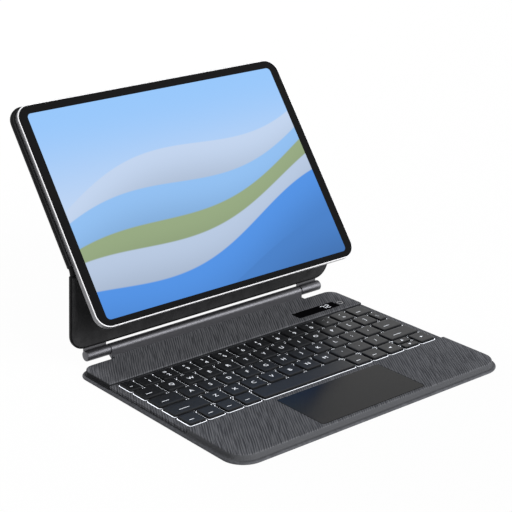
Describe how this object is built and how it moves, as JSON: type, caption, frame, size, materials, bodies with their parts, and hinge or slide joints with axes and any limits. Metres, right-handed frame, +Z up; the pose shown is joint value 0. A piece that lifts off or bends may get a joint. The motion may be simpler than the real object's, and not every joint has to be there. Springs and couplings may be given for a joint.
{
  "type": "tablet keyboard case",
  "caption": "Folding keyboard case open on its hinged stand, holding a tablet tilted back above a key deck with a trackpad, gauge strip and power button.",
  "frame": {"origin": "middle of the keyboard base's underside", "axes": "+X to the right along the hinge, +Y from the user to the rear, +Z up"},
  "size_m": [0.2528, 0.2756, 0.1907],
  "materials": {
    "deck_leather": "dark grey grained leather-look covering",
    "cover_leather": "charcoal leather-look covering",
    "lining": "charcoal brushed lining",
    "case_plastic": "dark satin moulding",
    "stiff_board": "plain stiff sheet",
    "key_plastic": "near-black satin with white legends",
    "hinge_metal": "gunmetal satin",
    "steel": "plain",
    "magnet": "plated",
    "circuit": "solder mask",
    "cell": "foil pouch",
    "dome_rubber": "translucent",
    "film": "clear sheet",
    "window": "glossy black",
    "trackpad": "etched satin",
    "screen": "glossy, lit",
    "gloss_black": "glossy",
    "tablet_metal": "satin silver"
  },
  "bodies": {
    "base": {"bottom_cover": "case_plastic", "keyboard_frame": "case_plastic", "palm_pad": "deck_leather", "rear_pad": "deck_leather", "key_deck": "deck_leather", "backlight_guide": "film", "switch_plate": "steel", "switch_membrane": "film", "key_domes": "dome_rubber", "battery_cells": "cell", "control_board": "circuit", "trackpad_bracket": "steel", "gauge_window": "window", "gauge_display": "gloss_black", "charge_port": "steel", "hinge_barrel": "hinge_metal", "friction_sleeves": "steel"},
    "trackpad": {"trackpad_glass": "trackpad", "trackpad_board": "circuit"},
    "power": {"power_button": "gloss_black"},
    "stand": {"stand_board": "stiff_board", "stand_inner_skin": "lining", "stand_outer_skin": "cover_leather", "knuckle_left": "hinge_metal", "knuckle_right": "hinge_metal", "hinge_pins": "steel", "fold_strip": "cover_leather"},
    "panel": {"panel_board": "stiff_board", "panel_inner_skin": "lining", "panel_outer_skin": "cover_leather", "holding_magnets": "magnet"},
    "tablet": {"tablet_housing": "tablet_metal", "tablet_glass": "screen", "tablet_camera": "gloss_black"},
    "escape": {"escape_key": "key_plastic"},
    "number": {"number_keys": "key_plastic"},
    "delete": {"delete_key": "key_plastic"},
    "tab": {"tab_key": "key_plastic"},
    "upper_letter": {"upper_letter_keys": "key_plastic"},
    "backslash": {"backslash_key": "key_plastic"},
    "caps": {"caps_key": "key_plastic"},
    "home_letter": {"home_letter_keys": "key_plastic"},
    "return": {"return_key": "key_plastic"},
    "left_shift": {"left_shift_key": "key_plastic"},
    "lower_letter": {"lower_letter_keys": "key_plastic"},
    "right_shift": {"right_shift_key": "key_plastic"},
    "function": {"function_key": "key_plastic"},
    "control": {"control_key": "key_plastic"},
    "option": {"option_key": "key_plastic"},
    "command": {"command_key": "key_plastic"},
    "space": {"space_bar": "key_plastic"},
    "right_command": {"right_command_key": "key_plastic"},
    "right_option": {"right_option_key": "key_plastic"},
    "left_arrow": {"left_arrow_key": "key_plastic"},
    "up_arrow": {"up_arrow_key": "key_plastic"},
    "down_arrow": {"down_arrow_key": "key_plastic"},
    "right_arrow": {"right_arrow_key": "key_plastic"}
  },
  "joints": [
    {"name": "case_fold", "type": "hinge", "parent": "base", "child": "stand", "pos_m": [0, 0.10225, 0.011], "axis": [-1, 0, 0], "range_deg": [-84.5, 4]},
    {"name": "back_fold", "type": "hinge", "parent": "stand", "child": "panel", "pos_m": [0, 0.09907, 0.08102], "axis": [-1, 0, 0], "range_deg": [-41.6, 2.1], "deforming": ["fold_strip"]},
    {"name": "tablet_lift", "type": "slide", "parent": "panel", "child": "tablet", "axis": [0, -0.809, 0.5878], "range_m": [0, 0.05]},
    {"name": "trackpad_press", "type": "hinge", "parent": "base", "child": "trackpad", "pos_m": [0, -0.041, 0.0056], "axis": [1, 0, 0], "range_deg": [0, 0.4], "stiffness_Nm_per_rad": 4, "springref_deg": -0.29},
    {"name": "power_press", "type": "slide", "parent": "base", "child": "power", "axis": [0, 0, -1], "range_m": [0, 0.0004], "stiffness_N_per_m": 1200, "springref_m": -0.0004},
    {"name": "escape_press", "type": "slide", "parent": "base", "child": "escape", "axis": [0, 0, -1], "range_m": [0, 0.001], "stiffness_N_per_m": 300, "springref_m": -0.001, "deforming": ["key_domes"]},
    {"name": "number_press", "type": "slide", "parent": "base", "child": "number", "axis": [0, 0, -1], "range_m": [0, 0.001], "stiffness_N_per_m": 3600, "springref_m": -0.001, "deforming": ["key_domes"]},
    {"name": "delete_press", "type": "slide", "parent": "base", "child": "delete", "axis": [0, 0, -1], "range_m": [0, 0.001], "stiffness_N_per_m": 300, "springref_m": -0.001, "deforming": ["key_domes"]},
    {"name": "tab_press", "type": "slide", "parent": "base", "child": "tab", "axis": [0, 0, -1], "range_m": [0, 0.001], "stiffness_N_per_m": 300, "springref_m": -0.001, "deforming": ["key_domes"]},
    {"name": "upper_letter_press", "type": "slide", "parent": "base", "child": "upper_letter", "axis": [0, 0, -1], "range_m": [0, 0.001], "stiffness_N_per_m": 3600, "springref_m": -0.001, "deforming": ["key_domes"]},
    {"name": "backslash_press", "type": "slide", "parent": "base", "child": "backslash", "axis": [0, 0, -1], "range_m": [0, 0.001], "stiffness_N_per_m": 300, "springref_m": -0.001, "deforming": ["key_domes"]},
    {"name": "caps_press", "type": "slide", "parent": "base", "child": "caps", "axis": [0, 0, -1], "range_m": [0, 0.001], "stiffness_N_per_m": 300, "springref_m": -0.001, "deforming": ["key_domes"]},
    {"name": "home_letter_press", "type": "slide", "parent": "base", "child": "home_letter", "axis": [0, 0, -1], "range_m": [0, 0.001], "stiffness_N_per_m": 3300, "springref_m": -0.001, "deforming": ["key_domes"]},
    {"name": "return_press", "type": "slide", "parent": "base", "child": "return", "axis": [0, 0, -1], "range_m": [0, 0.001], "stiffness_N_per_m": 300, "springref_m": -0.001, "deforming": ["key_domes"]},
    {"name": "left_shift_press", "type": "slide", "parent": "base", "child": "left_shift", "axis": [0, 0, -1], "range_m": [0, 0.001], "stiffness_N_per_m": 300, "springref_m": -0.001, "deforming": ["key_domes"]},
    {"name": "lower_letter_press", "type": "slide", "parent": "base", "child": "lower_letter", "axis": [0, 0, -1], "range_m": [0, 0.001], "stiffness_N_per_m": 3000, "springref_m": -0.001, "deforming": ["key_domes"]},
    {"name": "right_shift_press", "type": "slide", "parent": "base", "child": "right_shift", "axis": [0, 0, -1], "range_m": [0, 0.001], "stiffness_N_per_m": 300, "springref_m": -0.001, "deforming": ["key_domes"]},
    {"name": "function_press", "type": "slide", "parent": "base", "child": "function", "axis": [0, 0, -1], "range_m": [0, 0.001], "stiffness_N_per_m": 300, "springref_m": -0.001, "deforming": ["key_domes"]},
    {"name": "control_press", "type": "slide", "parent": "base", "child": "control", "axis": [0, 0, -1], "range_m": [0, 0.001], "stiffness_N_per_m": 300, "springref_m": -0.001, "deforming": ["key_domes"]},
    {"name": "option_press", "type": "slide", "parent": "base", "child": "option", "axis": [0, 0, -1], "range_m": [0, 0.001], "stiffness_N_per_m": 300, "springref_m": -0.001, "deforming": ["key_domes"]},
    {"name": "command_press", "type": "slide", "parent": "base", "child": "command", "axis": [0, 0, -1], "range_m": [0, 0.001], "stiffness_N_per_m": 300, "springref_m": -0.001, "deforming": ["key_domes"]},
    {"name": "space_press", "type": "slide", "parent": "base", "child": "space", "axis": [0, 0, -1], "range_m": [0, 0.001], "stiffness_N_per_m": 300, "springref_m": -0.001, "deforming": ["key_domes"]},
    {"name": "right_command_press", "type": "slide", "parent": "base", "child": "right_command", "axis": [0, 0, -1], "range_m": [0, 0.001], "stiffness_N_per_m": 300, "springref_m": -0.001, "deforming": ["key_domes"]},
    {"name": "right_option_press", "type": "slide", "parent": "base", "child": "right_option", "axis": [0, 0, -1], "range_m": [0, 0.001], "stiffness_N_per_m": 300, "springref_m": -0.001, "deforming": ["key_domes"]},
    {"name": "left_arrow_press", "type": "slide", "parent": "base", "child": "left_arrow", "axis": [0, 0, -1], "range_m": [0, 0.001], "stiffness_N_per_m": 300, "springref_m": -0.001, "deforming": ["key_domes"]},
    {"name": "up_arrow_press", "type": "slide", "parent": "base", "child": "up_arrow", "axis": [0, 0, -1], "range_m": [0, 0.001], "stiffness_N_per_m": 300, "springref_m": -0.001, "deforming": ["key_domes"]},
    {"name": "down_arrow_press", "type": "slide", "parent": "base", "child": "down_arrow", "axis": [0, 0, -1], "range_m": [0, 0.001], "stiffness_N_per_m": 300, "springref_m": -0.001, "deforming": ["key_domes"]},
    {"name": "right_arrow_press", "type": "slide", "parent": "base", "child": "right_arrow", "axis": [0, 0, -1], "range_m": [0, 0.001], "stiffness_N_per_m": 300, "springref_m": -0.001, "deforming": ["key_domes"]}
  ],
  "couplings": [
    {"joint": "back_fold", "follows": "case_fold", "ratio": 0.49112}
  ]
}
